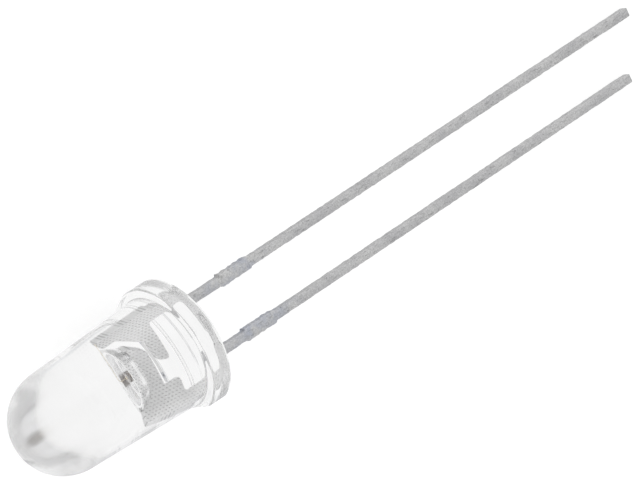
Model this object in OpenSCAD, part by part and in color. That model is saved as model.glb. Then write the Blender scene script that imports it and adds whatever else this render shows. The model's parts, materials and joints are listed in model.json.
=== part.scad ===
// Clear 5 mm through-hole LED, lying as it comes to rest on a flat surface.
// Each piece is drawn upright: seating face at z = 0, dome towards +Z, anode at
// -X, cathode at +X, sheet metal in the XZ plane. at_rest() then lays it down.

/* [Lens] */
// Diameter of the lens body where it meets the flange
body_d = 5.0; // [4.8:0.05:5.2]
// Diameter of the lens body where the dome begins
dome_base_d = 4.5; // [4.3:0.05:4.7]
// Height above the seating face at which the dome begins
dome_z = 6.75; // [5.5:0.05:7.5]

/* [Flange] */
// Diameter of the flange
flange_d = 5.8; // [5.6:0.05:6.2]
// Thickness of the flange
flange_h = 1.0; // [0.8:0.05:1.2]
// Radius of the flange's rounded front edge
flange_edge_r = 0.12; // [0.06:0.01:0.2]
// Distance from the axis to the flat that marks the cathode
flat_x = 2.55; // [2.4:0.01:2.75]

/* [Leads] */
// Distance between the centres of the two leads
lead_pitch = 2.54; // [2.4:0.02:2.6]
// Width of a lead, in the plane of both leads
lead_w = 0.4; // [0.35:0.01:0.5]
// Thickness of the lead frame sheet
sheet_t = 0.4; // [0.3:0.01:0.5]
// Length of the cathode lead below the seating face
cathode_len = 26.0; // [20:0.5:30]
// Length of the anode lead below the seating face
anode_len = 27.3; // [21:0.5:31]
// Width of a lead over the cut stubs of the dam bar
stub_w = 0.53; // [0.5:0.01:0.7]
// Distance from the seating face to the stubs
stub_drop = 2.83; // [2:0.1:4]
// Length of the stubs along the lead
stub_len = 1.6; // [1:0.1:2.5]

/* [Lead frame] */
// Width over both plates
frame_w = 3.2; // [3.1:0.05:3.5]
// Height above the seating face at which the leads widen into plates
plate_z = 0.95; // [0.7:0.05:1.2]
// Height of the anode post's top
anode_top = 3.9; // [3.75:0.05:4.3]
// Width of the anode post's top
post_w = 0.4; // [0.3:0.02:0.5]
// Height at which the anode's slanted edge reaches the post
shoulder_z = 3.2; // [2.9:0.05:3.5]
// Height of the underside of the anode's foot
foot_z = 1.43; // [1.3:0.02:1.5]
// Height of the foot itself
foot_h = 0.54; // [0.4:0.02:0.6]
// Distance from the axis to the root of the foot, where the slanted edge starts
foot_root = 0.54; // [0.4:0.02:0.7]
// How far the foot reaches past the axis
foot_reach = 0.16; // [0:0.02:0.3]
// Gap between the anode and the cathode plates
plate_gap = 0.28; // [0.22:0.01:0.32]
// Distance from the axis to the cathode's inner edge beside the foot
notch_x = 0.66; // [0.56:0.02:0.8]
// Distance from the axis to the outer edge of the cathode plate at its top
anvil_top_x = 1.25; // [1.1:0.05:1.4]
// Radius of the plates' punched corners
corner_r = 0.12; // [0.06:0.01:0.14]

/* [Reflector cup] */
// Height of the cup's rim above the seating face
cup_rim_z = 3.65; // [3.55:0.05:3.7]
// Outer diameter of the cup at its rim
cup_d = 1.84; // [1.76:0.02:1.92]
// Outer diameter of the cup at its base
cup_base_d = 1.48; // [1.4:0.02:1.56]
// Outer height of the cup
cup_h = 0.58; // [0.54:0.01:0.65]
// Depth of the coned underside that runs into the plate
cup_under_h = 0.16; // [0.1:0.01:0.2]
// Diameter of the cup's mouth
mouth_d = 1.5; // [1.44:0.02:1.58]
// Diameter of the cup's floor, measured to where the wall would meet it
floor_d = 1.4; // [1.3:0.02:1.44]
// Depth of the cup
cup_depth = 0.38; // [0.34:0.01:0.42]
// Radius between the cup's wall and its floor
cup_floor_r = 0.12; // [0.06:0.01:0.16]

/* [Chip and bond wire] */
// Width of the square chip
die_w = 0.25; // [0.2:0.01:0.32]
// Height of the chip
die_h = 0.3; // [0.2:0.01:0.31]
// Diameter of the adhesive bed under the chip
glue_d = 0.5; // [0.46:0.01:0.56]
// Height of the adhesive bed
glue_h = 0.06; // [0.04:0.01:0.08]
// Thickness of adhesive between chip and floor
glue_film = 0.02; // [0.01:0.005:0.03]
// Diameter of the bond wire
wire_d = 0.025; // [0.02:0.001:0.035]
// Diameter of the ball bond on the chip
ball_d = 0.1; // [0.08:0.01:0.12]
// Height of the ball bond
ball_h = 0.03; // [0.02:0.005:0.04]
// Radius of the wire's bend above the chip
loop_r = 0.12; // [0.08:0.01:0.16]
// Height of the top of the wire's loop above the post's top
loop_rise = 0.08; // [0.06:0.01:0.16]
// Length and width of the stitch bond on the post
stitch_w = 0.1; // [0.06:0.01:0.12]

/* [Hidden] */
$fn = 96;
small_fn = 24; // for punched corners and the wire
eps = 0.5; // how far a cutting tool runs past the face it cuts

body_r = body_d / 2;
dome_base_r = dome_base_d / 2;
flange_r = flange_d / 2;
draft = atan((body_r - dome_base_r) / (dome_z - flange_h));
dome_r = dome_base_r / cos(draft);           // the dome meets the drafted wall without a kink
dome_centre_z = dome_z - dome_r * sin(draft);

lead_x = lead_pitch / 2;
lead_in = lead_x - lead_w / 2;
lead_out = lead_x + lead_w / 2;
frame_out = frame_w / 2;
post_in = frame_out - post_w;
foot_top = foot_z + foot_h;
anvil_z = foot_top + plate_gap;
slant = (post_in - foot_root) / (shoulder_z - foot_top);   // sideways run for each unit of height
slant_gap = plate_gap / cos(atan(slant));                  // the gap measured along X

cup_base_z = cup_rim_z - cup_h;
cup_base_r = cup_base_d / 2;
floor_z = cup_rim_z - cup_depth;
wall_draft = atan((mouth_d - floor_d) / 2 / cup_depth);
flat_r = floor_d / 2 - cup_floor_r * tan((90 - wall_draft) / 2);   // where the floor's rounding starts
anvil_side_z = foot_top + (cup_base_r + slant_gap - foot_root) / slant;

die_z = floor_z + glue_film;
die_top = die_z + die_h;
bend_z = anode_top + loop_rise - loop_r;                   // height of the bend's centre
stitch_x = frame_out - post_w / 2;
stitch_z = anode_top + wire_d / 2;
stitch_dist = norm([stitch_x - loop_r, stitch_z - bend_z]);
bend_angle = atan2(stitch_z - bend_z, loop_r - stitch_x) - acos(loop_r / stitch_dist);
run_len = sqrt(stitch_dist * stitch_dist - loop_r * loop_r);
kink_d = wire_d * 1.2;                                     // the wire swells where its bend starts and ends

// On a flat surface the flange's rim and both lead tips touch.
rest_tilt = atan((flange_r - sheet_t / 2) / ((anode_len + cathode_len) / 2));
rest_roll = asin((anode_len - cathode_len) / lead_pitch * tan(rest_tilt));

lens_colour = [0.9, 0.93, 0.96, 0.35];

// Lays an upright piece down: dome towards -X, anode towards +Y.
module at_rest() {
    rotate([0, rest_tilt, 0]) rotate([rest_roll, 0, 0]) rotate([90, 0, -90]) children();
}

// Sheet metal from an outline drawn in the XZ plane, its edges rounded by the punch.
module sheet() {
    rotate([90, 0, 0])
        linear_extrude(sheet_t, center = true)
            children();
}

module punched() {
    offset(r = corner_r, $fn = small_fn)
        offset(delta = -2 * corner_r)
            offset(r = corner_r, $fn = small_fn)
                children();
}

// A lead's outline on the +X side: the straight lead and the cut stubs of the dam bar.
module lead_outline(len) {
    translate([lead_in, -len])
        square([lead_w, len + plate_z + lead_w]);
    translate([lead_x - stub_w / 2, -stub_drop - stub_len])
        square([stub_w, stub_len]);
}

module anode_plate_outline() {
    punched() polygon([
        [-frame_out, plate_z], [-lead_in, plate_z], [-lead_in, foot_z], [foot_reach, foot_z],
        [foot_reach - foot_h / 4, foot_top], [-foot_root, foot_top],
        [-post_in, shoulder_z], [-post_in, anode_top], [-frame_out, anode_top]
    ]);
}

module cathode_plate_outline() {
    punched() polygon([
        [frame_out, plate_z], [lead_in, plate_z], [lead_in, foot_z], [notch_x, foot_z],
        [notch_x, anvil_z],
        [slant_gap - foot_root - slant * plate_gap, anvil_z],
        [-cup_base_r, anvil_side_z], [-cup_base_r, cup_rim_z], [anvil_top_x, cup_rim_z]
    ]);
}

// The coined cup's outside: a drafted wall on a coned underside.
module cup_blank() {
    translate([0, 0, cup_base_z])
        cylinder(h = cup_h, r1 = cup_base_r, r2 = cup_d / 2);
    translate([0, 0, cup_base_z - cup_under_h])
        cylinder(h = cup_under_h, r1 = sheet_t / 2, r2 = cup_base_r);
}

// The coined cup's inside: a steep wall that rounds into the floor.
module cup_pocket() {
    top_r = mouth_d / 2 + eps * tan(wall_draft);
    translate([0, 0, floor_z])
        rotate_extrude() {
            polygon([
                [0, 0], [flat_r, 0],
                [flat_r + cup_floor_r * cos(wall_draft), cup_floor_r * (1 - sin(wall_draft))],
                [top_r, cup_depth + eps], [0, cup_depth + eps]
            ]);
            translate([flat_r, cup_floor_r]) circle(cup_floor_r);
        }
}

module anode_metal() {
    sheet() {
        anode_plate_outline();
        mirror([1, 0]) lead_outline(anode_len);
    }
}

module cathode_metal() {
    difference() {
        union() {
            sheet() {
                cathode_plate_outline();
                lead_outline(cathode_len);
            }
            cup_blank();
        }
        cup_pocket();
    }
}

module die_block() {
    translate([-die_w / 2, -die_w / 2, die_z])
        cube([die_w, die_w, die_h]);
}

module glue_bed() {
    difference() {
        translate([0, 0, floor_z])
            cylinder(h = glue_h, r1 = glue_d / 2, r2 = (glue_d + die_w * sqrt(2)) / 4 + glue_film);
        die_block();
    }
}

// Ball bond, rise, bend, straight run down to the post, and stitch bond.
module wire_path() {
    $fn = small_fn;
    translate([0, 0, die_top]) {
        cylinder(h = ball_h, d = ball_d);
        translate([0, 0, ball_h]) cylinder(h = ball_h, d1 = ball_d, d2 = wire_d);
    }
    translate([0, 0, die_top + ball_h])
        cylinder(h = bend_z - die_top - ball_h, d = wire_d);
    translate([-loop_r, 0, bend_z])
        rotate([90, 0, 0]) {
            rotate_extrude(angle = bend_angle) translate([loop_r, 0]) circle(d = wire_d);
            translate([loop_r, 0, 0]) rotate([90, 0, 0])
                cylinder(h = wire_d, d = kink_d, center = true);
            rotate([0, 0, bend_angle]) translate([loop_r, 0, 0]) rotate([-90, 0, 0]) {
                cylinder(h = wire_d, d = kink_d, center = true);
                cylinder(h = run_len, d = wire_d);
            }
        }
    translate([-stitch_x - stitch_w / 2, -stitch_w / 2, anode_top])
        cube([stitch_w, stitch_w, wire_d]);
}

module flange_blank() {
    rotate_extrude() {
        square([flange_r - flange_edge_r, flange_h]);
        square([flange_r, flange_h - flange_edge_r]);
        translate([flange_r - flange_edge_r, flange_h - flange_edge_r]) circle(flange_edge_r);
    }
}

module lens_blank() {
    difference() {
        flange_blank();
        translate([flat_x, -flange_r, -eps])
            cube([flange_r, flange_d, flange_h + 2 * eps]);
    }
    translate([0, 0, flange_h])
        cylinder(h = dome_z - flange_h, r1 = body_r, r2 = dome_base_r);
    intersection() {
        translate([0, 0, dome_centre_z]) sphere(dome_r);
        translate([0, 0, dome_z]) cylinder(h = dome_r, r = body_r);
    }
}

module lens_body() {
    color(lens_colour) at_rest() difference() {
        lens_blank();
        anode_metal();
        cathode_metal();
        glue_bed();
        die_block();
        wire_path();
    }
}

module anode_lead() {
    color("silver") at_rest() anode_metal();
}

module cathode_lead() {
    color("silver") at_rest() cathode_metal();
}

module die_attach() {
    color("gainsboro") at_rest() glue_bed();
}

module led_die() {
    color([0.16, 0.16, 0.18]) at_rest() die_block();
}

module bond_wire() {
    color("gold") at_rest() wire_path();
}

lens_body();
anode_lead();
cathode_lead();
die_attach();
led_die();
bond_wire();
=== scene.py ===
import json
import math
import bmesh
import bpy
from mathutils import Matrix, Vector, noise


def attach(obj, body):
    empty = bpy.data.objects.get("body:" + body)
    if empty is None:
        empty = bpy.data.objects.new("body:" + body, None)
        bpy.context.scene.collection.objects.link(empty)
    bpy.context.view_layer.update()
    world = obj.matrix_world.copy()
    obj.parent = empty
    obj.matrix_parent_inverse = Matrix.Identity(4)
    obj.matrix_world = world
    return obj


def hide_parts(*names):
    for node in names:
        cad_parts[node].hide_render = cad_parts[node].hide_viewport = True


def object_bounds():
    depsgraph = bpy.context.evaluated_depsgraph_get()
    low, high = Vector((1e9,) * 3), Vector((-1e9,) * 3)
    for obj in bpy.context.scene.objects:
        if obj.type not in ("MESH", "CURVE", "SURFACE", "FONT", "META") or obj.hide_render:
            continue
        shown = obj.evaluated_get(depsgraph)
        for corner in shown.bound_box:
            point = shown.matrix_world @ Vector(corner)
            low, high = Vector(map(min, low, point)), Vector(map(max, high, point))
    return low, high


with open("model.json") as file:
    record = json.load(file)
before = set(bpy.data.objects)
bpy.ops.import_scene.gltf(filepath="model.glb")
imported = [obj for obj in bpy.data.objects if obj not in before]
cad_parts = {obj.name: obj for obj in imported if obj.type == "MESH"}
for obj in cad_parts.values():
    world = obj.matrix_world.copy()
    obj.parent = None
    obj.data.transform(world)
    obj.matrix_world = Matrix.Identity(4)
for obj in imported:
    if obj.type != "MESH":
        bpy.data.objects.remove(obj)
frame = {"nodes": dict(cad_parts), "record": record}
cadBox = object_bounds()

mm = 0.001
print("stage: the CAD frame is loaded")

# Everything is drawn upright in millimetres: seating face at z = 0, dome towards +z,
# anode at -x, cathode at +x. lay then puts it down the way the CAD part rests.
mounts = {m["name"]: m for m in frame["record"]["mounts"]}
domeWay = -Vector(mounts["seat_face"]["axis"]).normalized()
pinStep = Vector(mounts["cathode_pin"]["pos_m"]) - Vector(mounts["anode_pin"]["pos_m"])
pinWay = pinStep.normalized()
lay = Matrix((pinWay, domeWay.cross(pinWay), domeWay)).transposed().to_4x4()
lay.translation = Vector(mounts["seat_face"]["pos_m"])
floorZ = cadBox[0][2]


def drawn(node):
    stand = lay.inverted()
    return [(stand @ v.co) / mm for v in frame["nodes"][node].data.vertices]


# Where the lens's parts are found: shares of the rim's radius, and a tolerance in mm
lensShares = {"flange": 0.93, "body": 0.9, "wall": 0.7, "sameHeight": 0.01}

# Sizes read back from the solids
lensPoints = drawn("lens_body")
rimRadius = max(p.xy.length for p in lensPoints)
flatReach = max(p.x for p in lensPoints)
flangeHeight = max(p.z for p in lensPoints if p.xy.length > lensShares["flange"] * rimRadius)
bodyRadius = max(p.xy.length for p in lensPoints
                 if abs(p.z - flangeHeight) < lensShares["sameHeight"]
                 and p.xy.length < lensShares["body"] * rimRadius)
wallPoints = [p for p in lensPoints
              if p.xy.length > lensShares["wall"] * rimRadius and p.z > 2 * flangeHeight]
draft = math.atan(min((bodyRadius - p.xy.length) / (p.z - flangeHeight) for p in wallPoints))
# the dome runs on from the drafted wall without a kink
lensTop = max(p.z for p in lensPoints)
domeShare = lensTop - bodyRadius * math.cos(draft) - flangeHeight * math.sin(draft)
domeCentre = domeShare / (1 - math.sin(draft))
domeRadius = lensTop - domeCentre
domeRing = domeRadius * math.cos(draft)
domeStart = domeCentre + domeRadius * math.sin(draft)
anodePoints = drawn("anode_lead")
cathodePoints = drawn("cathode_lead")
leadPitch = pinStep.length / mm
anodeLength = -min(p.z for p in anodePoints)
cathodeLength = -min(p.z for p in cathodePoints)
anodeTop = max(p.z for p in anodePoints)
cupRim = max(p.z for p in cathodePoints)
frameHalf = max(abs(p.x) for p in anodePoints)
sheetHalf = max(abs(p.y) for p in anodePoints)
diePoints = drawn("led_die")
dieHalf = max(p.x for p in diePoints)
dieLow = min(p.z for p in diePoints)
dieTop = max(p.z for p in diePoints)
print("sizes:", [round(v, 3) for v in (
    rimRadius, flatReach, flangeHeight, bodyRadius, domeRing, domeStart, anodeLength,
    cathodeLength, anodeTop, cupRim, frameHalf, sheetHalf, dieHalf, dieLow, dieTop)])


# Node trees: a socket given as a value is linked, anything else is set.
def addNode(tree, kind, inputs=None, **settings):
    node = tree.nodes.new(kind)
    for key, value in settings.items():
        setattr(node, key, value)
    for key, value in (inputs or {}).items():
        if isinstance(value, bpy.types.NodeSocket):
            tree.links.new(value, node.inputs[key])
        else:
            node.inputs[key].default_value = value
    return node


def calc(tree, operation, *values):
    return addNode(tree, "ShaderNodeMath", dict(enumerate(values)), operation=operation).outputs[0]


# A value spread from one pair of ends to another
def mapped(tree, value, ends, makes=(0.0, 1.0), **settings):
    return addNode(tree, "ShaderNodeMapRange",
                   {"Value": value, "From Min": ends[0], "From Max": ends[1],
                    "To Min": makes[0], "To Max": makes[1]}, **settings).outputs[0]


def mixed(tree, factor, a, b):
    return addNode(tree, "ShaderNodeMix", {"Factor": factor, "A": a, "B": b},
                   data_type="VECTOR").outputs["Result"]


def socketAdder(tree, way):
    def add(name, kind, value=None):
        socket = tree.interface.new_socket(name, in_out=way, socket_type="NodeSocket" + kind)
        if value is not None:
            socket.default_value = value
    return add


def meshPiece(name, points, faces=(), edges=()):
    mesh = bpy.data.meshes.new(name)
    mesh.from_pydata([Vector(p) for p in points], list(edges), list(faces))
    piece = bpy.data.objects.new(name, mesh)
    bpy.context.scene.collection.objects.link(piece)
    return piece


def linePiece(name, points):
    return meshPiece(name, points, edges=[(i, i + 1) for i in range(len(points) - 1)])


def runNodes(piece, tree, values):
    modifier = piece.modifiers.new(tree.name, "NODES")
    modifier.node_group = tree
    for item in tree.interface.items_tree:
        if item.in_out == "INPUT" and item.name in values:
            modifier[item.identifier] = values[item.name]


def settle(piece):
    bpy.context.view_layer.update()
    made = bpy.data.meshes.new_from_object(piece.evaluated_get(bpy.context.evaluated_depsgraph_get()))
    piece.modifiers.clear()
    piece.data = made
    made.name = piece.name


def finishPiece(piece, node):
    piece.data.transform(lay @ Matrix.Scale(mm, 4))
    piece.data.update()
    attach(piece, "root")
    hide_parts(node)
    print("piece:", piece.name, len(piece.data.polygons), "faces")


def joinInto(piece, other):
    first = len(piece.data.materials)
    for finish in other.data.materials:
        piece.data.materials.append(finish)
    for face in other.data.polygons:
        face.material_index += first
    shape = bmesh.new()
    shape.from_mesh(piece.data)
    shape.from_mesh(other.data)
    shape.to_mesh(piece.data)
    shape.free()
    bpy.data.objects.remove(other)


def arcPoints(centre, radius, start, end, steps):
    turns = [math.radians(start + (end - start) * i / steps) for i in range(steps + 1)]
    return [(centre[0] + radius * math.cos(a), centre[1] + radius * math.sin(a)) for a in turns]


# Corners are (x, z, radius). Each one with a radius becomes an arc, which takes up
# no more than a share of either side.
def roundedLoop(corners, steps=6, sideShare=0.48):
    loop = []
    count = len(corners)
    for i, (x, z, radius) in enumerate(corners):
        here = Vector((x, z))
        if radius <= 0:
            loop.append(here)
            continue
        back = Vector(corners[i - 1][:2]) - here
        ahead = Vector(corners[(i + 1) % count][:2]) - here
        half = back.angle(ahead) / 2
        run = min(radius / math.tan(half), sideShare * back.length, sideShare * ahead.length)
        back.normalize()
        ahead.normalize()
        centre = here + (back + ahead).normalized() * (run / math.cos(half))
        first = here + back * run - centre
        final = here + ahead * run - centre
        turn = first.angle_signed(final)
        for k in range(steps + 1):
            a = -turn * k / steps
            loop.append(centre + Vector((first.x * math.cos(a) - first.y * math.sin(a),
                                         first.x * math.sin(a) + first.y * math.cos(a))))
    return loop


# The lathe turns a profile, drawn in x and z, about the z axis.
lathing = {"merge": 1e-5, "sliver": 1e-6}


def buildLathe():
    tree = bpy.data.node_groups.new("lathe", "GeometryNodeTree")
    takes, gives = socketAdder(tree, "INPUT"), socketAdder(tree, "OUTPUT")
    takes("Profile", "Geometry")
    takes("Columns", "Int", 256)
    takes("Flat Reach", "Float", 100.0)
    takes("Flat Height", "Float", -100.0)
    takes("Flat Softness", "Float", 0.05)
    takes("Material", "Material")
    gives("Mesh", "Geometry")
    given = addNode(tree, "NodeGroupInput").outputs
    rows = addNode(tree, "GeometryNodeAttributeDomainSize", {"Geometry": given["Profile"]})
    ring = calc(tree, "ADD", given["Columns"], 1.0)
    grid = addNode(tree, "GeometryNodeMeshGrid",
                   {"Vertices X": rows.outputs["Point Count"], "Vertices Y": ring})
    index = addNode(tree, "GeometryNodeInputIndex").outputs[0]
    row = calc(tree, "FLOOR", calc(tree, "DIVIDE", calc(tree, "ADD", index, 0.5), ring))
    column = calc(tree, "SUBTRACT", index, calc(tree, "MULTIPLY", row, ring))
    angle = calc(tree, "MULTIPLY", calc(tree, "DIVIDE", column, given["Columns"]), 2 * math.pi)
    point = addNode(tree, "GeometryNodeSampleIndex",
                    {"Geometry": given["Profile"],
                     "Value": addNode(tree, "GeometryNodeInputPosition").outputs[0], "Index": row},
                    data_type="FLOAT_VECTOR")
    along = addNode(tree, "ShaderNodeSeparateXYZ", {0: point.outputs[0]}).outputs
    x = calc(tree, "MULTIPLY", along["X"], calc(tree, "COSINE", angle))
    y = calc(tree, "MULTIPLY", along["X"], calc(tree, "SINE", angle))
    cut = calc(tree, "SMOOTH_MIN", x, given["Flat Reach"], given["Flat Softness"])
    low = calc(tree, "LESS_THAN", along["Z"], given["Flat Height"])
    x = calc(tree, "MULTIPLY_ADD", low, calc(tree, "SUBTRACT", cut, x), x)
    place = addNode(tree, "ShaderNodeCombineXYZ", {"X": x, "Y": y, "Z": along["Z"]})
    moved = addNode(tree, "GeometryNodeSetPosition",
                    {"Geometry": grid.outputs["Mesh"], "Position": place.outputs[0]})
    closed = addNode(tree, "GeometryNodeMergeByDistance",
                     {"Geometry": moved.outputs[0], "Distance": lathing["merge"]})
    smooth = addNode(tree, "GeometryNodeSetShadeSmooth", {"Geometry": closed.outputs[0]})
    whole = addNode(tree, "GeometryNodeRealizeInstances", {"Geometry": smooth.outputs[0]})
    painted = addNode(tree, "GeometryNodeSetMaterial",
                      {"Geometry": whole.outputs[0], "Material": given["Material"]})
    addNode(tree, "NodeGroupOutput", {0: painted.outputs[0]})
    return tree


lathe = buildLathe()


def turned(name, profile, material, columns, **more):
    piece = linePiece(name, [(r, 0, z) for r, z in profile])
    runNodes(piece, lathe, {"Columns": columns, "Material": material, **more})
    settle(piece)
    shape = bmesh.new()
    shape.from_mesh(piece.data)
    bmesh.ops.dissolve_degenerate(shape, dist=lathing["sliver"], edges=shape.edges)
    bmesh.ops.recalc_face_normals(shape, faces=shape.faces)
    for face in shape.faces:
        face.material_index = 0                     # the nodes leave an empty slot before the material's own
    piece.data.materials.clear()
    piece.data.materials.append(material)
    shape.to_mesh(piece.data)
    shape.free()
    return piece


print("stage: helpers are ready")


def newMaterial(name):
    material = bpy.data.materials.new(name)
    material.use_nodes = True
    tree = material.node_tree
    tree.nodes.clear()
    return material, tree


# Upright coordinates in millimetres, from Object coordinates
def uprightPlace(tree):
    place = addNode(tree, "ShaderNodeTexCoord")
    mapping = addNode(tree, "ShaderNodeMapping",
                      {"Vector": place.outputs["Object"], "Location": lay.translation,
                       "Rotation": lay.to_euler(), "Scale": (mm, mm, mm)}, vector_type="TEXTURE")
    return mapping.outputs[0]


def ramp(tree, factor, stops):
    node = addNode(tree, "ShaderNodeValToRGB", {"Fac": factor})
    band = node.color_ramp
    while len(band.elements) < len(stops):
        band.elements.new(0.5)
    for element, (where, colour) in zip(band.elements, stops):
        element.position = where
        element.color = (*colour, 1)
    return node.outputs["Color"]


def bumped(tree, height, strength, depth):
    return addNode(tree, "ShaderNodeBump",
                   {"Strength": strength, "Distance": depth * mm, "Height": height}).outputs[0]


def surfaced(tree, looks):
    shader = addNode(tree, "ShaderNodeBsdfPrincipled", looks)
    addNode(tree, "ShaderNodeOutputMaterial", {0: shader.outputs[0]})


# Soft blotches, fine grain and pits for every finish but the epoxy: detail and roughness
skinDetail = {"blotch": (4.0, 0.6), "grain": (3.0, 0.7), "pitEdge": (0.06, 0.14)}


def buildMetalSkin():
    tree = bpy.data.node_groups.new("metalSkin", "ShaderNodeTree")
    takes, gives = socketAdder(tree, "INPUT"), socketAdder(tree, "OUTPUT")
    takes("Vector", "Vector")
    takes("Blotch Size", "Float", 0.6)
    takes("Grain Size", "Float", 0.05)
    takes("Pit Size", "Float", 0.35)
    gives("Blotch", "Float")
    gives("Grain", "Float")
    gives("Pit", "Float")
    given = addNode(tree, "NodeGroupInput").outputs

    def scaleFor(size):
        return calc(tree, "DIVIDE", 1.0, given[size])

    def clouds(size, look):
        return addNode(tree, "ShaderNodeTexNoise",
                       {"Vector": given["Vector"], "Scale": scaleFor(size),
                        "Detail": look[0], "Roughness": look[1]}).outputs[0]

    blotch = clouds("Blotch Size", skinDetail["blotch"])
    grain = clouds("Grain Size", skinDetail["grain"])
    pits = addNode(tree, "ShaderNodeTexVoronoi", {"Vector": given["Vector"], "Scale": scaleFor("Pit Size")})
    pit = mapped(tree, pits.outputs["Distance"], skinDetail["pitEdge"], (1.0, 0.0))
    addNode(tree, "NodeGroupOutput", {"Blotch": blotch, "Grain": grain, "Pit": pit})
    return tree


metalSkin = buildMetalSkin()


def skinOf(tree, place, blotchSize, grainSize, pitSize):
    return addNode(tree, "ShaderNodeGroup",
                   {"Vector": place, "Blotch Size": blotchSize, "Grain Size": grainSize,
                    "Pit Size": pitSize}, node_tree=metalSkin).outputs


# The lead frame in mm, as the sheet is stamped
stamping = {
    "leadWidth": 0.4, "stubWidth": 0.53, "stubDrop": 2.83, "stubLength": 1.6, "plateFoot": 0.95,
    "postWidth": 0.4, "shoulder": 3.2, "footUnder": 1.43, "footHeight": 0.54, "footRoot": 0.54,
    "footReach": 0.16, "plateGap": 0.28, "notch": 0.66, "anvilTop": 1.25, "corner": 0.12,
    "rimCorner": 0.02, "edge": 0.03, "edgeSegments": 3, "tip": 0.05, "burr": 0.03,
    "ragged": 0.02, "raggedStub": 0.045, "raggedStep": 0.08, "raggedWaves": (5, 9),
}

# Its finish: shades, sizes in mm, the rolled pattern, and heights in the bump
leadFinish = {
    "tin": (0.71, 0.71, 0.71), "tinDark": (0.60, 0.60, 0.61), "stubTin": (0.55, 0.575, 0.645),
    "plate": (0.89, 0.89, 0.89), "tinStops": (0.35, 0.62), "roughness": 0.30, "tinRoughness": 0.42,
    "blotchSize": 0.9, "grainSize": 0.07, "pitSize": 0.4, "speckle": 1.15, "streak": 0.28,
    "seatEdge": (-0.4, 0.1), "sideEdge": (0.025, 0.045), "sidePaintedShade": 0.10, "sideRough": 0.2,
    "stubReach": (2.6, 0.6), "stubPatches": (0.62, 0.4),
    "streakWaves": (14.0, 14.0, 2.6), "streakDetail": 3.0, "streakEdge": (0.56, 0.7),
    "stippleRows": (2.81, -2.40), "stippleDots": (8.8, 3.3), "stippleDark": 0.58,   # waves per mm in x and z
    "dotEdge": (0.15, 0.85), "dotBlotch": 1.2, "dotGrain": 0.8, "dotBase": -0.5,
    "dotHeight": -0.8, "grainHeight": 0.6, "pitHeight": -1.5, "crownHeight": 2.4,
    "bump": 0.35, "bumpDepth": 0.02, "grainRough": 0.2,
}


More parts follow.
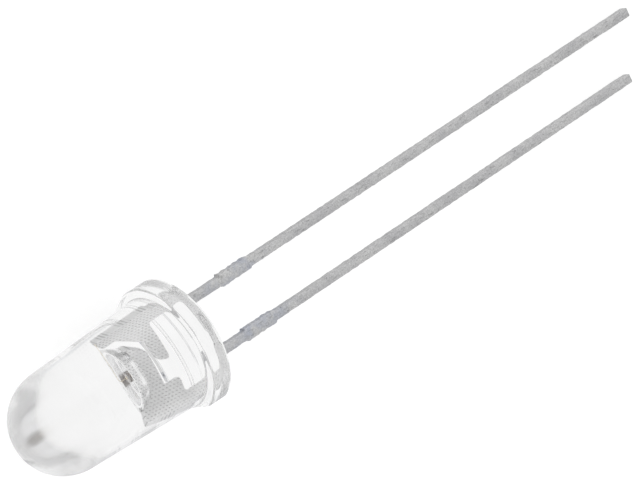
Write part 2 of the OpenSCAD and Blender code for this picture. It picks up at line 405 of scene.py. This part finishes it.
def buildLeadMetal():
    look = leadFinish
    material, tree = newMaterial("leadMetal")
    place = uprightPlace(tree)
    skin = skinOf(tree, place, look["blotchSize"], look["grainSize"], look["pitSize"])
    axes = addNode(tree, "ShaderNodeSeparateXYZ", {0: place}).outputs
    inside = mapped(tree, axes["Z"], look["seatEdge"])          # the part that the epoxy covers is silvery
    outside = calc(tree, "SUBTRACT", 1.0, inside)
    # the sheared sides of the sheet are rougher than its rolled faces
    side = mapped(tree, calc(tree, "ABSOLUTE", axes["Y"]), [sheetHalf - reach for reach in look["sideEdge"]])
    tin = ramp(tree, skin["Blotch"], list(zip(look["tinStops"], (look["tinDark"], look["tin"]))))
    # bluer where the stubs were sheared off
    stubMiddle = stamping["stubDrop"] + stamping["stubLength"] / 2
    fromStub = calc(tree, "ABSOLUTE", calc(tree, "ADD", axes["Z"], stubMiddle))
    patches = calc(tree, "MULTIPLY", mapped(tree, fromStub, look["stubReach"]),
                   mapped(tree, skin["Blotch"], look["stubPatches"]))
    sheared = mixed(tree, patches, tin, look["stubTin"])
    colour = mixed(tree, inside, sheared, look["plate"])
    # grain, drawn-out streaks and a crowned face on the leads
    drawnPlace = addNode(tree, "ShaderNodeVectorMath", {0: place, 1: look["streakWaves"]},
                         operation="MULTIPLY")
    drawnOut = addNode(tree, "ShaderNodeTexNoise",
                       {"Vector": drawnPlace.outputs[0], "Scale": 1.0, "Detail": look["streakDetail"]})
    streak = mapped(tree, drawnOut.outputs[0], look["streakEdge"])
    marks = calc(tree, "MULTIPLY", calc(tree, "MAXIMUM", streak, skin["Pit"]), -look["streak"])
    worn = calc(tree, "MULTIPLY_ADD", calc(tree, "SUBTRACT", skin["Grain"], 0.5), look["speckle"], marks)
    # painted shade: the sheared sides are darkened a little, as the floor they mirror lies in the lead's own
    # shadow
    worn = calc(tree, "MULTIPLY_ADD", side, -look["sidePaintedShade"], worn)
    fromMiddle = calc(tree, "SUBTRACT", calc(tree, "ABSOLUTE", axes["X"]), leadPitch / 2)
    offCentre = calc(tree, "DIVIDE", fromMiddle, stamping["leadWidth"] / 2)
    crown = calc(tree, "MULTIPLY", calc(tree, "MULTIPLY", offCentre, offCentre),
                 calc(tree, "MULTIPLY", outside, look["crownHeight"]))
    # the rolled pattern on the faces of the sheet: rows of small dots
    waves = [calc(tree, "SINE", calc(tree, "MULTIPLY_ADD", axes["X"], 2 * math.pi * alongX,
                                     calc(tree, "MULTIPLY", axes["Z"], 2 * math.pi * alongZ)))
             for alongX, alongZ in (look["stippleRows"], look["stippleDots"])]
    dots = mapped(tree, calc(tree, "MULTIPLY", waves[0], waves[1]), look["dotEdge"])
    uneven = calc(tree, "MULTIPLY_ADD", skin["Blotch"], look["dotBlotch"],
                  calc(tree, "MULTIPLY_ADD", skin["Grain"], look["dotGrain"], look["dotBase"]))
    dimple = calc(tree, "MULTIPLY", calc(tree, "MULTIPLY", dots, uneven), inside)
    height = calc(tree, "MULTIPLY_ADD", skin["Pit"], look["pitHeight"], crown)
    height = calc(tree, "MULTIPLY_ADD", skin["Grain"], look["grainHeight"], height)
    height = calc(tree, "MULTIPLY_ADD", dimple, look["dotHeight"], height)
    shade = calc(tree, "MULTIPLY_ADD", dimple, -look["stippleDark"],
                 calc(tree, "MULTIPLY_ADD", worn, outside, 1.0))
    shaded = addNode(tree, "ShaderNodeVectorMath", {0: colour, "Scale": shade}, operation="SCALE")
    rough = calc(tree, "MULTIPLY_ADD", skin["Grain"], look["grainRough"],
                 look["roughness"] - look["grainRough"] / 2)
    rough = calc(tree, "MULTIPLY_ADD", outside, look["tinRoughness"] - look["roughness"], rough)
    rough = calc(tree, "MULTIPLY_ADD", side, look["sideRough"], rough)
    surfaced(tree, {"Base Color": shaded.outputs[0], "Metallic": 1.0, "Roughness": rough,
                    "Normal": bumped(tree, height, look["bump"], look["bumpDepth"])})
    return material


cupFinish = {"blotchSize": 0.4, "grainSize": 0.03, "pitSize": 0.3, "roughness": 0.14,
             "shades": ((0.3, (0.94, 0.94, 0.945)), (0.7, (0.98, 0.98, 0.98))),
             "bump": 0.06, "bumpDepth": 0.01}


def buildCupSilver():
    look = cupFinish
    material, tree = newMaterial("coinedSilver")
    skin = skinOf(tree, uprightPlace(tree), look["blotchSize"], look["grainSize"], look["pitSize"])
    surfaced(tree, {"Base Color": ramp(tree, skin["Blotch"], look["shades"]), "Metallic": 1.0,
                    "Roughness": look["roughness"],
                    "Normal": bumped(tree, skin["Grain"], look["bump"], look["bumpDepth"])})
    return material


epoxyFinish = {"index": 1.53, "domeHaze": 0.23, "hazeRun": 1.0, "swellScale": 0.9, "swellDetail": 2.0,
               "rubScale": 14.0, "rubDetail": 5.0, "rubRoughness": 0.7, "rubEdge": (0.4, 0.75),
               "rubHaze": 0.05, "bump": 0.15, "bumpDepth": 0.02}


def buildEpoxy():
    look = epoxyFinish
    material, tree = newMaterial("clearEpoxy")
    place = uprightPlace(tree)
    swell = addNode(tree, "ShaderNodeTexNoise",
                    {"Vector": place, "Scale": look["swellScale"], "Detail": look["swellDetail"]})
    rub = addNode(tree, "ShaderNodeTexNoise",
                  {"Vector": place, "Scale": look["rubScale"], "Detail": look["rubDetail"],
                   "Roughness": look["rubRoughness"]})
    along = addNode(tree, "ShaderNodeSeparateXYZ", {0: place}).outputs["Z"]
    haze = mapped(tree, along, (domeStart - look["hazeRun"], domeStart), (0.0, look["domeHaze"]))
    rough = mapped(tree, rub.outputs[0], look["rubEdge"], (haze, calc(tree, "ADD", haze, look["rubHaze"])))
    surfaced(tree, {"Base Color": (1, 1, 1, 1), "Metallic": 0.0, "IOR": look["index"],
                    "Transmission Weight": 1.0, "Roughness": rough,
                    "Normal": bumped(tree, swell.outputs[0], look["bump"], look["bumpDepth"])})
    return material


# The small parts: blotches and pits are so many grains wide
smallSkin = {"blotches": 4, "pits": 6, "stops": (0.38, 0.58), "bump": 0.3, "bumpDepth": 0.01}
smallFinishes = {
    "chipBody": {"dark": (0.46, 0.39, 0.36), "light": (0.76, 0.74, 0.72), "roughness": 0.3,
                 "metallic": 0.0, "grain": 0.02},
    "chipFace": {"dark": (0.86, 0.82, 0.79), "light": (0.97, 0.96, 0.95), "roughness": 0.3,
                 "metallic": 0.0, "grain": 0.02},
    "pasteSilver": {"dark": (0.86, 0.85, 0.83), "light": (0.93, 0.92, 0.91), "roughness": 0.5,
                    "metallic": 0.0, "grain": 0.03},
    "wireGold": {"dark": (0.95, 0.86, 0.70), "light": (1.0, 0.94, 0.82), "roughness": 0.3,
                 "metallic": 1.0, "grain": 0.02},
}


def buildSmallMaterial(name, dark, light, roughness, metallic, grain):
    material, tree = newMaterial(name)
    skin = skinOf(tree, uprightPlace(tree), smallSkin["blotches"] * grain, grain, smallSkin["pits"] * grain)
    shade = ramp(tree, skin["Blotch"], list(zip(smallSkin["stops"], (dark, light))))
    surfaced(tree, {"Base Color": shade, "Metallic": metallic, "Roughness": roughness,
                    "Normal": bumped(tree, skin["Grain"], smallSkin["bump"], smallSkin["bumpDepth"])})
    return material


leadMetal = buildLeadMetal()
coinedSilver = buildCupSilver()
clearEpoxy = buildEpoxy()
chipBody, chipFace, pasteSilver, wireGold = (
    buildSmallMaterial(name, **look) for name, look in smallFinishes.items())
print("stage: materials are built")

# The lens, all in mm; nudge is how far a support row stands from each rounded edge
lensCast = {
    "edgeRadius": 0.12, "lipRadius": 0.08, "rootRadius": 0.12, "flatSoftness": 0.05, "flatOver": 0.005,
    "dishDepth": 0.16, "dishFloor": 1.8, "dishEdge": 2.7, "nudge": 0.012, "columns": 360,
    "dishRows": 6, "fallRows": 24, "lipRows": 5, "edgeRows": 8, "rootRows": 5, "wallRows": 14, "domeRows": 72,
}


def lensProfile():
    edge, lip, root = lensCast["edgeRadius"], lensCast["lipRadius"], lensCast["rootRadius"]
    nudge, rows, falls, walls = (lensCast[k] for k in ("nudge", "dishRows", "fallRows", "wallRows"))
    # the seating face is the free surface of the casting, drawn up a little towards its middle
    deep, floor = lensCast["dishDepth"], lensCast["dishFloor"]
    fall = lensCast["dishEdge"] - floor
    points = [(floor * i / rows, deep) for i in range(rows)]
    points += [(floor + fall * i / falls, deep * (1 + math.cos(math.pi * i / falls)) / 2)
               for i in range(falls + 1)]
    points.append((rimRadius - lip - nudge, 0))
    points += arcPoints((rimRadius - lip, lip), lip, -90, 0, lensCast["lipRows"])
    points += [(rimRadius, lip + nudge), (rimRadius, flangeHeight / 2)]
    points.append((rimRadius, flangeHeight - edge - nudge))
    points += arcPoints((rimRadius - edge, flangeHeight - edge), edge, 0, 90, lensCast["edgeRows"])
    points += [(rimRadius - edge - nudge, flangeHeight), (bodyRadius + root + nudge, flangeHeight)]
    points += arcPoints((bodyRadius + root, flangeHeight + root), root, -90, -180 + math.degrees(draft),
                        lensCast["rootRows"])
    foot = points[-1]
    for i in range(1, walls):
        t = i / walls
        points.append((foot[0] + (domeRing - foot[0]) * t, foot[1] + (domeStart - foot[1]) * t))
    points += arcPoints((0, domeCentre), domeRadius, math.degrees(draft), 90, lensCast["domeRows"])
    points[-1] = (0, domeCentre + domeRadius)
    return points


lens = turned("clearLens", lensProfile(), clearEpoxy, lensCast["columns"], **{
    "Flat Reach": flatReach, "Flat Height": flangeHeight + lensCast["flatOver"],
    "Flat Softness": lensCast["flatSoftness"]})
finishPiece(lens, "lens_body")
print("stage: lens")

# The coined cup in mm; a row gives a share of a radius or of a run, or a step in mm from one
cup = {
    "rimRadius": 0.92, "baseRadius": 0.74, "height": 0.58, "underHeight": 0.16,
    "mouthRadius": 0.75, "floorRadius": 0.70, "depth": 0.38, "floorRound": 0.12, "lip": 0.03,
    "underRows": ((0.0, 0.0), (0.5, 0.0), (0.9, 0.005), (1.0, 0.015)),
    "baseRows": ((-0.03, -0.01), (-0.008, 0.0), (0.0, 0.02)), "wallRows": (0.2, 0.5, 0.8, 0.93),
    "lipShare": 0.3, "lipDrop": 0.003, "lipIn": 0.2, "lipUnder": 0.7,
    "pocketRows": (0.85, 0.6, 0.35), "roundRows": 8, "floorRows": (0.9, 0.5, 0.0), "columns": 160,
    "cutUnder": 0.05, "cutOver": 0.3, "cutColumns": 96, "silverUnder": 0.01,
}

# The sheared stubs in mm: how the edge runs on the leads' inner and outer sides
shear = {
    "inner": {"under": 0.3, "wornLow": 0.1, "wornHigh": 0.2, "shoulder": 0.14, "burr": 0.04},
    "outer": {"under": 0.4, "wornLow": 0.12, "wornHigh": 0.22, "shoulder": 0.16, "burr": 0.03},
    "runs": (0.05, 0.22), "overTip": 0.1, "overStub": 0.1, "underSeat": 0.3,
    "stubCorner": 0.03, "burrCorner": 0.02, "shoulderCorner": 0.05,
}


def leadSide(side, length):
    middle, half, stub = leadPitch / 2, stamping["leadWidth"] / 2, stamping["stubWidth"] / 2
    top = -stamping["stubDrop"]
    low = -stamping["stubDrop"] - stamping["stubLength"]
    nearLead, nearStub = middle - half, middle - stub
    farLead, farStub = middle + half, middle + stub
    # the shear left one corner longer than the other
    innerRun, outerRun = shear["runs"] if side < 0 else shear["runs"][::-1]
    tip, burr = stamping["tip"], stamping["burr"]
    stubCorner, burrCorner = shear["stubCorner"], shear["burrCorner"]
    shoulderCorner = shear["shoulderCorner"]

    # the sheared edges waver a little
    def worn(x, start, end, depth):
        count = round(abs(end - start) / stamping["raggedStep"])
        heights = [start + (end - start) * (i + 0.5) / count for i in range(count)]
        along, across = stamping["raggedWaves"]
        return [(x + depth * noise.noise(Vector((side * along * z, across * x, 0))), z, 0) for z in heights]

    cut = shear["inner"]
    inner = [(nearLead, -length, tip)]
    inner += worn(nearLead, shear["overTip"] - length, low - cut["under"], stamping["ragged"])
    inner += [(nearLead, low - innerRun, innerRun / 2), (nearStub, low, stubCorner)]
    inner += worn(nearStub, low + cut["wornLow"], top - cut["wornHigh"], stamping["raggedStub"])
    inner += [(nearStub, top - cut["shoulder"], shoulderCorner),
              (nearStub - burr, top - cut["burr"], burrCorner), (nearLead, top, burrCorner)]
    inner += worn(nearLead, top + shear["overStub"], -shear["underSeat"], stamping["ragged"])
    cut = shear["outer"]
    outer = worn(farLead, -shear["underSeat"], top + shear["overStub"], stamping["ragged"])
    outer += [(farLead, top, burrCorner), (farStub + burr, top - cut["burr"], burrCorner),
              (farStub, top - cut["shoulder"], shoulderCorner)]
    outer += worn(farStub, top - cut["wornHigh"], low + cut["wornLow"], stamping["raggedStub"])
    outer += [(farStub, low, stubCorner), (farLead, low - outerRun, outerRun / 2)]
    outer += worn(farLead, low - cut["under"], shear["overTip"] - length, stamping["ragged"])
    outer.append((farLead, -length, tip))
    return [(side * x, z, r) for x, z, r in inner], [(side * x, z, r) for x, z, r in outer]


def stamped(name, corners, material):
    loop = roundedLoop(corners)
    shape = bmesh.new()
    face = shape.faces.new([shape.verts.new((p.x, -sheetHalf, p.y)) for p in loop])
    grown = bmesh.ops.extrude_face_region(shape, geom=[face])
    for v in grown["geom"]:
        if isinstance(v, bmesh.types.BMVert):
            v.co.y = sheetHalf
    bmesh.ops.recalc_face_normals(shape, faces=shape.faces)
    caps = [f for f in shape.faces if len(f.verts) > 4]
    rims = list({e for f in caps for e in f.edges})
    bmesh.ops.bevel(shape, geom=rims, offset=stamping["edge"], segments=stamping["edgeSegments"],
                    profile=0.5, affect="EDGES", clamp_overlap=True)
    bmesh.ops.triangulate(shape, faces=[f for f in shape.faces if len(f.verts) > 4])
    bmesh.ops.recalc_face_normals(shape, faces=shape.faces)
    mesh = bpy.data.meshes.new(name)
    shape.to_mesh(mesh)
    shape.free()
    for p in mesh.polygons:
        p.use_smooth = True
    mesh.materials.append(material)
    piece = bpy.data.objects.new(name, mesh)
    bpy.context.scene.collection.objects.link(piece)
    return piece


def steadyNormals(piece):
    piece.modifiers.new("even", "WEIGHTED_NORMAL").keep_sharp = False


leadIn = leadPitch / 2 - stamping["leadWidth"] / 2
leadOut = leadPitch / 2 + stamping["leadWidth"] / 2
postIn = frameHalf - stamping["postWidth"]
shoulder, plateFoot, plateGap = (stamping[k] for k in ("shoulder", "plateFoot", "plateGap"))
footUnder, footRoot, notch, corner = (stamping[k] for k in ("footUnder", "footRoot", "notch", "corner"))
footTop = footUnder + stamping["footHeight"]
footSlope = stamping["footReach"] - stamping["footHeight"] / 4
# the slanted gap between the two plates
slant = (postIn - footRoot) / (shoulder - footTop)
slantGap = plateGap / math.cos(math.atan(slant))
anvilUnder = footTop + plateGap
anvilSide = footTop + (cup["baseRadius"] + slantGap - footRoot) / slant

inner, outer = leadSide(-1, anodeLength)
anodeCorners = outer[::-1] + [
    (-leadOut, plateFoot, corner), (-frameHalf, plateFoot, corner), (-frameHalf, anodeTop, corner),
    (-postIn, anodeTop, corner), (-postIn, shoulder, corner), (-footRoot, footTop, corner),
    (footSlope, footTop, corner), (stamping["footReach"], footUnder, corner),
    (-leadIn, footUnder, corner)] + inner[::-1]
anode = stamped("anodeStamping", anodeCorners, leadMetal)
steadyNormals(anode)
settle(anode)
finishPiece(anode, "anode_lead")

inner, outer = leadSide(1, cathodeLength)
cathodeCorners = inner + [
    (leadIn, footUnder, corner), (notch, footUnder, corner), (notch, anvilUnder, corner),
    (slantGap - footRoot - slant * plateGap, anvilUnder, corner), (-cup["baseRadius"], anvilSide, corner),
    (-cup["baseRadius"], cupRim, stamping["rimCorner"]), (stamping["anvilTop"], cupRim, corner),
    (frameHalf, plateFoot, corner), (leadOut, plateFoot, corner)] + outer
cathode = stamped("cathodeStamping", cathodeCorners, leadMetal)

# the cup is coined out of the plate: its pocket is cut, then its own wall is set in
wallBottom = cupRim - cup["depth"]
cutLow, cutHigh = wallBottom - cup["cutUnder"], cupRim + cup["cutOver"]
cutTopRadius = (cup["mouthRadius"] + cup["rimRadius"]) / 2
cutProfile = [(0, cutLow), (cup["mouthRadius"], cutLow), (cutTopRadius, cutHigh), (0, cutHigh)]
cutter = turned("cupCutter", cutProfile, leadMetal, cup["cutColumns"])
cutting = cathode.modifiers.new("cut", "BOOLEAN")
cutting.operation = "DIFFERENCE"
cutting.solver = "EXACT"
cutting.object = cutter
steadyNormals(cathode)
settle(cathode)
bpy.data.objects.remove(cutter)


def cupProfile():
    base, rim, mouth, floor = cup["baseRadius"], cup["rimRadius"], cup["mouthRadius"], cup["floorRadius"]
    low, lip, share = cupRim - cup["height"], cup["lip"], cup["lipShare"]
    under = low - cup["underHeight"]
    points = [(sheetHalf * part, under + rise) for part, rise in cup["underRows"]]
    points += [(base + out, low + rise) for out, rise in cup["baseRows"]]
    points += [(base + (rim - base) * t, low + (cupRim - low) * t) for t in cup["wallRows"]]
    points += [(rim, cupRim - lip * share), (rim - lip * share, cupRim), (rim - lip, cupRim)]
    points += [((rim + mouth) / 2, cupRim), (mouth + lip, cupRim)]
    points += [(mouth + lip * share, cupRim - cup["lipDrop"])]
    points += [(mouth - lip * cup["lipIn"], cupRim - lip * cup["lipUnder"])]
    # inside: the steep wall, its rounding and the floor
    slope, bend = math.degrees(math.atan((mouth - floor) / cup["depth"])), cup["floorRound"]
    flat = floor - bend * math.tan(math.radians(90 - slope) / 2)
    points += [(floor + (mouth - floor) * t, wallBottom + cup["depth"] * t) for t in cup["pocketRows"]]
    points += arcPoints((flat, wallBottom + bend), bend, -slope, -90, cup["roundRows"])
    return points + [(flat * part, wallBottom) for part in cup["floorRows"]]


cupWall = turned("cupWall", cupProfile(), leadMetal, cup["columns"])
cupWall.data.materials.append(coinedSilver)
silverReach = cup["mouthRadius"] + 2 * cup["lip"]
for face in cupWall.data.polygons:
    if face.center.z > wallBottom - cup["silverUnder"] and face.center.xy.length < silverReach:
        face.material_index = 1
joinInto(cathode, cupWall)
finishPiece(cathode, "cathode_lead")
print("stage: lead frame")

# The paste under the chip; a row gives a share of its radius and a step in mm from the cup's floor or its top
paste = {"radius": 0.25, "height": 0.06, "columns": 96,
         "footRows": ((0.0, -0.01), (1.0, -0.01), (1.0, 0.01), (0.93, 0.035)),
         "topRows": ((0.8, -0.005), (0.6, 0.0), (0.0, 0.0))}
pasteTop = paste["height"] + wallBottom
pasteProfile = [(paste["radius"] * part, level + rise)
                for level, rows in ((wallBottom, paste["footRows"]), (pasteTop, paste["topRows"]))
                for part, rise in rows]
bed = turned("pasteBed", pasteProfile, pasteSilver, paste["columns"])
finishPiece(bed, "die_attach")

dice = {"rounding": 0.008, "segments": 2}
chip = meshPiece("ledChip", [(x * dieHalf, y * dieHalf, z) for z in (dieLow, dieTop)
                             for x, y in ((-1, -1), (1, -1), (1, 1), (-1, 1))],
                 [(0, 3, 2, 1), (4, 5, 6, 7), (0, 1, 5, 4), (1, 2, 6, 5), (2, 3, 7, 6), (3, 0, 4, 7)])
chip.data.materials.append(chipBody)
chip.data.materials.append(chipFace)
chip.data.polygons[1].material_index = 1            # the top, which is polished
rounding = chip.modifiers.new("rounding", "BEVEL")
rounding.width = dice["rounding"]
rounding.segments = dice["segments"]
settle(chip)
finishPiece(chip, "led_die")

wire = {"diameter": 0.025, "bendRadius": 0.12, "rise": 0.08, "riseSteps": 8, "bendSteps": 16, "runSteps": 12,
        "sides": 16, "ball": 0.1, "ballSegments": 32, "ballRings": 16, "ballLift": 0.02, "stitchLift": 0.008,
        "ballSquash": (1.0, 1.0, 0.55), "stitchSquash": (1.0, 0.8, 0.3)}


# Straight up from the chip, over a bend and down to the post
def wirePath():
    around, rise = wire["bendRadius"], wire["riseSteps"]
    bend = anodeTop + wire["rise"] - around
    stitchX = frameHalf - stamping["postWidth"] / 2
    stitchZ = anodeTop + wire["diameter"] / 2
    reach = math.hypot(stitchX - around, stitchZ - bend)
    turn = math.atan2(stitchZ - bend, around - stitchX) - math.acos(around / reach)
    points = [(0, 0, dieTop + (bend - dieTop) * i / rise) for i in range(rise)]
    for i in range(wire["bendSteps"] + 1):
        a = turn * i / wire["bendSteps"]
        points.append((around * (math.cos(a) - 1), 0, bend + around * math.sin(a)))
    last = points[-1]
    for i in range(1, wire["runSteps"] + 1):
        t = i / wire["runSteps"]
        points.append((last[0] + (-stitchX - last[0]) * t, 0, last[2] + (stitchZ - last[2]) * t))
    return points


def buildWireTree():
    tree = bpy.data.node_groups.new("bondWire", "GeometryNodeTree")
    takes, gives = socketAdder(tree, "INPUT"), socketAdder(tree, "OUTPUT")
    takes("Path", "Geometry")
    takes("Diameter", "Float", 0.03)
    takes("Ball Diameter", "Float", 0.1)
    takes("Start", "Vector")
    takes("End", "Vector")
    takes("Material", "Material")
    gives("Mesh", "Geometry")
    given = addNode(tree, "NodeGroupInput").outputs
    path = addNode(tree, "GeometryNodeMeshToCurve", {"Mesh": given["Path"]})
    ring = addNode(tree, "GeometryNodeCurvePrimitiveCircle",
                   {"Resolution": wire["sides"], "Radius": calc(tree, "MULTIPLY", given["Diameter"], 0.5)})
    tube = addNode(tree, "GeometryNodeCurveToMesh",
                   {"Curve": path.outputs[0], "Profile Curve": ring.outputs[0], "Fill Caps": True})
    ball = addNode(tree, "GeometryNodeMeshUVSphere",
                   {"Segments": wire["ballSegments"], "Rings": wire["ballRings"],
                    "Radius": calc(tree, "MULTIPLY", given["Ball Diameter"], 0.5)})

    def bonded(place, squash):
        return addNode(tree, "GeometryNodeTransform",
                       {"Geometry": ball.outputs[0], "Translation": place, "Scale": squash})

    ballBond = bonded(given["Start"], wire["ballSquash"])
    stitchBond = bonded(given["End"], wire["stitchSquash"])
    joined = addNode(tree, "GeometryNodeJoinGeometry")
    for part in (stitchBond, ballBond, tube):
        tree.links.new(part.outputs[0], joined.inputs[0])
    smooth = addNode(tree, "GeometryNodeSetShadeSmooth", {"Geometry": joined.outputs[0]})
    whole = addNode(tree, "GeometryNodeRealizeInstances", {"Geometry": smooth.outputs[0]})
    painted = addNode(tree, "GeometryNodeSetMaterial",
                      {"Geometry": whole.outputs[0], "Material": given["Material"]})
    addNode(tree, "NodeGroupOutput", {0: painted.outputs[0]})
    return tree


path = wirePath()
bond = linePiece("bondWire", path)
runNodes(bond, buildWireTree(), {
    "Diameter": wire["diameter"], "Ball Diameter": wire["ball"],
    "Start": (0.0, 0.0, dieTop + wire["ballLift"]),
    "End": (path[-1][0], 0.0, anodeTop + wire["stitchLift"]), "Material": wireGold})
settle(bond)
finishPiece(bond, "bond_wire")
print("stage: chip and wire")

# The studio: the floor's strip of painted shadow and its far end of painted shade are in mm, seen only by
# metal and glass
studio = {
    "floorColour": 0.55, "floorGlow": 0.64, "floorSize": 0.6, "fibreScale": 900.0, "fibreDetail": 2.0,
    "fibreTone": 0.005, "floorSeen": 0.94, "strip": (-3.2, -5.0), "stripFar": (-12.5, -10.5),
    "stripEnd": (-13.5, -11.5), "stripShade": (0.82, 0.825, 0.845), "farAway": (-9.0, -13.0),
    "farShade": 0.88, "sky": 0.9, "skyDark": 0.62, "darkWay": (0.64, -0.02, 0.77), "darkEdge": (0.80, 0.93),
    "bounces": 32, "lensBounces": 24,
}


def buildFloor():
    half = studio["floorSize"]
    floor = meshPiece("studioFloor", [(-half, -half, floorZ), (half, -half, floorZ), (half, half, floorZ),
                                      (-half, half, floorZ)], [(0, 1, 2, 3)])
    material, tree = newMaterial("palePaper")
    place = addNode(tree, "ShaderNodeTexCoord").outputs["Object"]
    fibre = addNode(tree, "ShaderNodeTexNoise",
                    {"Vector": place, "Scale": studio["fibreScale"], "Detail": studio["fibreDetail"]})
    tones = (studio["floorColour"] - studio["fibreTone"], studio["floorColour"] + studio["fibreTone"])
    tone = mapped(tree, fibre.outputs[0], (0.0, 1.0), tones)
    paper = addNode(tree, "ShaderNodeBsdfDiffuse", {"Color": tone})
    rays = addNode(tree, "ShaderNodeLightPath").outputs
    # the camera sees paper with the shadow on it
    glow = addNode(tree, "ShaderNodeEmission",
                   {"Strength": calc(tree, "MULTIPLY", rays["Is Camera Ray"], studio["floorGlow"])})
    lit = addNode(tree, "ShaderNodeAddShader", {0: paper.outputs[0], 1: glow.outputs[0]})
    across = addNode(tree, "ShaderNodeSeparateXYZ", {0: place}).outputs

    def step(value, ends):
        return mapped(tree, value, [end * mm for end in ends], interpolation_type="SMOOTHSTEP")

    # metal and glass see it white, with a greyer strip beside the lens that is the lens's painted shadow, and
    # a greyer far end that is painted shade
    slanted = calc(tree, "ADD", across["X"], across["Y"])
    strip = calc(tree, "MULTIPLY", step(across["Y"], studio["strip"]), step(across["Y"], studio["stripFar"]))
    strip = calc(tree, "MULTIPLY", strip, step(slanted, studio["stripEnd"]))
    # painted shadow of the lens on its -y side, tinted a little blue
    shaded = ramp(tree, strip, [(0.0, (1, 1, 1)), (1.0, studio["stripShade"])])
    # painted shade: the floor is darker towards its far end, beyond the lit part
    away = calc(tree, "MULTIPLY_ADD", step(across["X"], studio["farAway"]), studio["farShade"] - 1.0, 1.0)
    white = addNode(tree, "ShaderNodeEmission",
                    {"Color": shaded, "Strength": calc(tree, "MULTIPLY", away, studio["floorSeen"])})
    mirrored = calc(tree, "MAXIMUM", rays["Is Glossy Ray"], rays["Is Transmission Ray"])
    both = addNode(tree, "ShaderNodeMixShader", {0: mirrored, 1: lit.outputs[0], 2: white.outputs[0]})
    addNode(tree, "ShaderNodeOutputMaterial", {0: both.outputs[0]})
    floor.data.materials.append(material)


# A soft white sky with one darker side, which the camera doesn't see
def buildWorld():
    world = bpy.data.worlds.new("studioLight")
    bpy.context.scene.world = world
    world.use_nodes = True
    tree = world.node_tree
    tree.nodes.clear()
    way = addNode(tree, "ShaderNodeTexCoord").outputs["Generated"]
    lean = addNode(tree, "ShaderNodeVectorMath", {0: way, 1: Vector(studio["darkWay"]).normalized()},
                   operation="DOT_PRODUCT").outputs["Value"]
    light = mapped(tree, lean, studio["darkEdge"], (studio["sky"], studio["skyDark"]),
                   interpolation_type="SMOOTHSTEP")
    rays = addNode(tree, "ShaderNodeLightPath").outputs
    light = calc(tree, "MAXIMUM", light, rays["Is Camera Ray"])
    back = addNode(tree, "ShaderNodeBackground", {"Color": (1, 1, 1, 1), "Strength": light})
    addNode(tree, "ShaderNodeOutputWorld", {0: back.outputs[0]})


buildFloor()
buildWorld()

# Camera: turned about the dome's axis, tipped up, then rolled in its own plane; degrees, and lengths in mm
view = {"side": 16.2, "lift": 31.8, "spin": 33.62, "distance": 250.0, "frameWidth": 26.122,
        "seatRight": -5.64, "seatDown": 4.13, "sensor": 36.0}
clipNear, clipFar = 0.01, 10.0                      # metres


def buildCamera():
    side, lift, spin = (math.radians(view[k]) for k in ("side", "lift", "spin"))
    toward = Vector((-math.sin(side) * math.cos(lift), math.cos(side) * math.cos(lift), math.sin(lift)))
    alongAxis = (math.sin(lift) * toward - Vector((0, 0, 1))) / math.cos(lift)
    acrossAxis = -toward.cross(alongAxis)
    right = math.cos(spin) * alongAxis + math.sin(spin) * acrossAxis
    down = -math.sin(spin) * alongAxis + math.cos(spin) * acrossAxis
    spot = toward * view["distance"] - right * view["seatRight"] - down * view["seatDown"]
    pose = Matrix((right, -down, toward)).transposed().to_4x4()
    pose.translation = spot * mm
    data = bpy.data.cameras.new("camera")
    data.sensor_width = view["sensor"]
    data.lens = view["sensor"] * view["distance"] / view["frameWidth"]
    data.clip_start = clipNear
    data.clip_end = clipFar
    camera = bpy.data.objects.new("camera", data)
    camera.matrix_world = lay @ pose
    bpy.context.scene.collection.objects.link(camera)
    bpy.context.scene.camera = camera


buildCamera()
scene = bpy.context.scene
scene.view_settings.view_transform = "Standard"
scene.cycles.max_bounces = studio["bounces"]         # light goes round many times inside the lens
scene.cycles.glossy_bounces = studio["lensBounces"]
scene.cycles.transmission_bounces = studio["lensBounces"]
print("stage: studio and camera")

bpy.context.view_layer.update()
